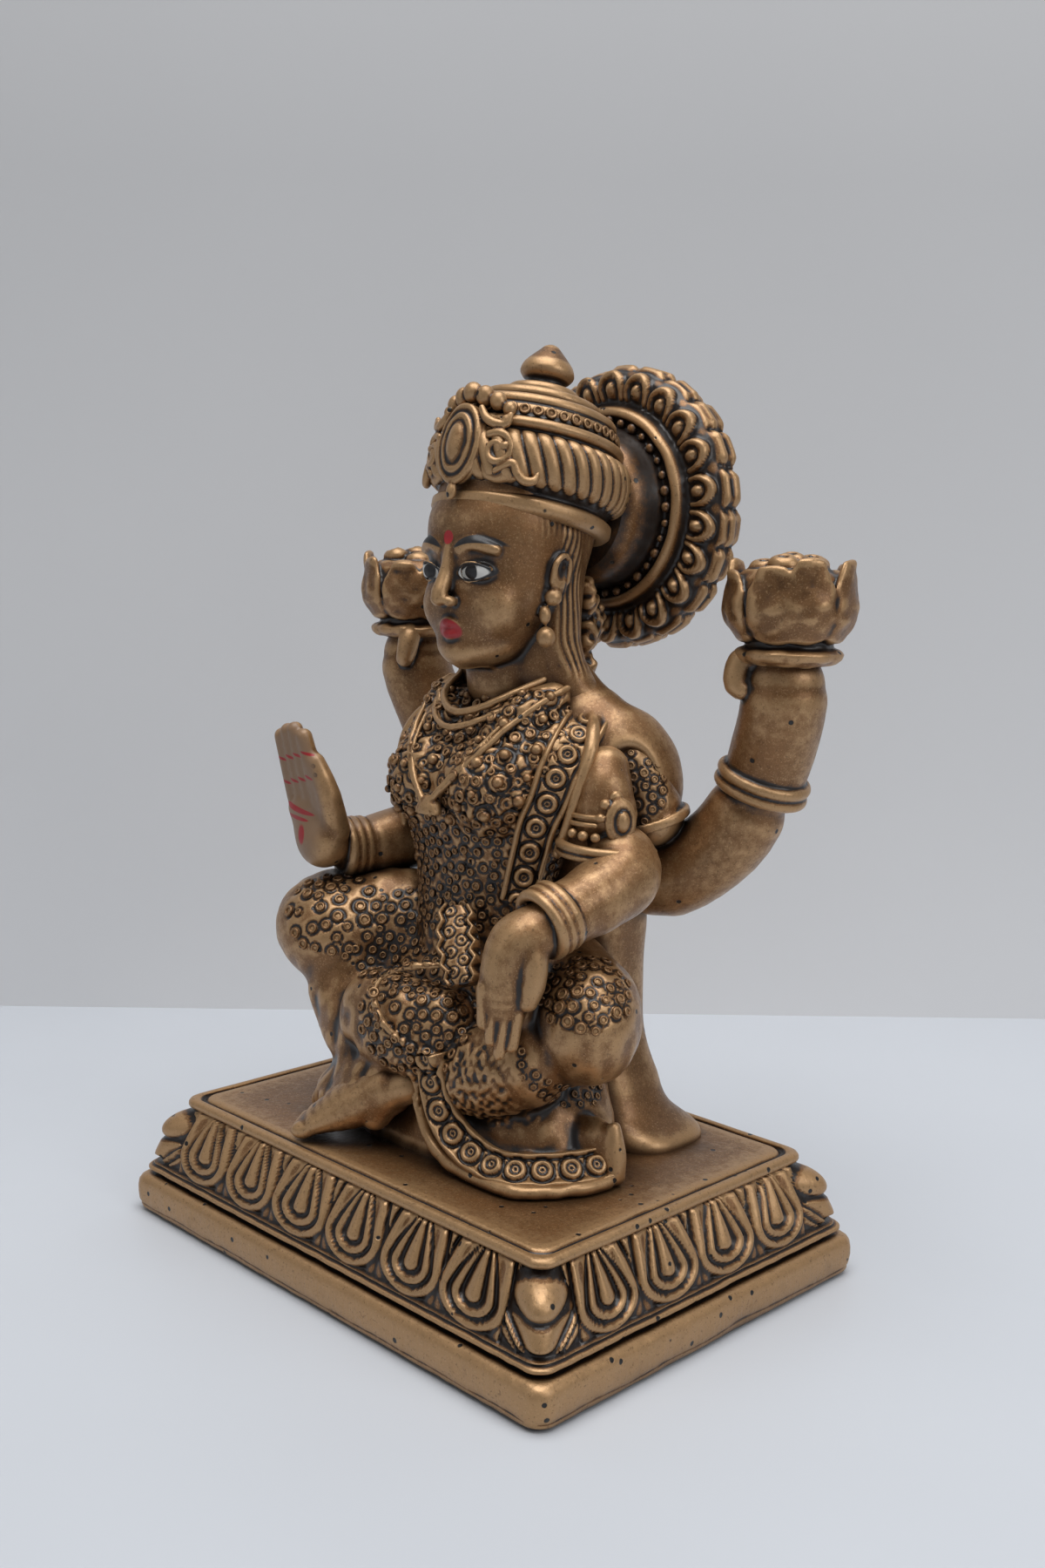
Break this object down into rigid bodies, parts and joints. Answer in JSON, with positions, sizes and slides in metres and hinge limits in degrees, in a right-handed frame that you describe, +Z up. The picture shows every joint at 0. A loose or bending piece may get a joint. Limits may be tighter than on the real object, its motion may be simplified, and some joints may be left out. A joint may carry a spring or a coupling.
{
  "type": "lakshmi figure",
  "caption": "Small bronze-painted cast figure of a seated four-armed goddess with crown, halo and raised lotuses, on a rectangular petal-carved plinth; stands on a shelf or altar.",
  "frame": {"origin": "centre of the plinth's underside", "axes": "+Z up, the figure faces -Y, +X is the figure's own left"},
  "size_m": [0.0842, 0.058, 0.1174],
  "materials": {
    "bronze_paint": "semi-gloss gold-bronze paint over polyresin, dark brown antiquing in the recesses"
  },
  "bodies": {
    "root": {"lakshmi_casting": "bronze_paint"}
  },
  "joints": []
}
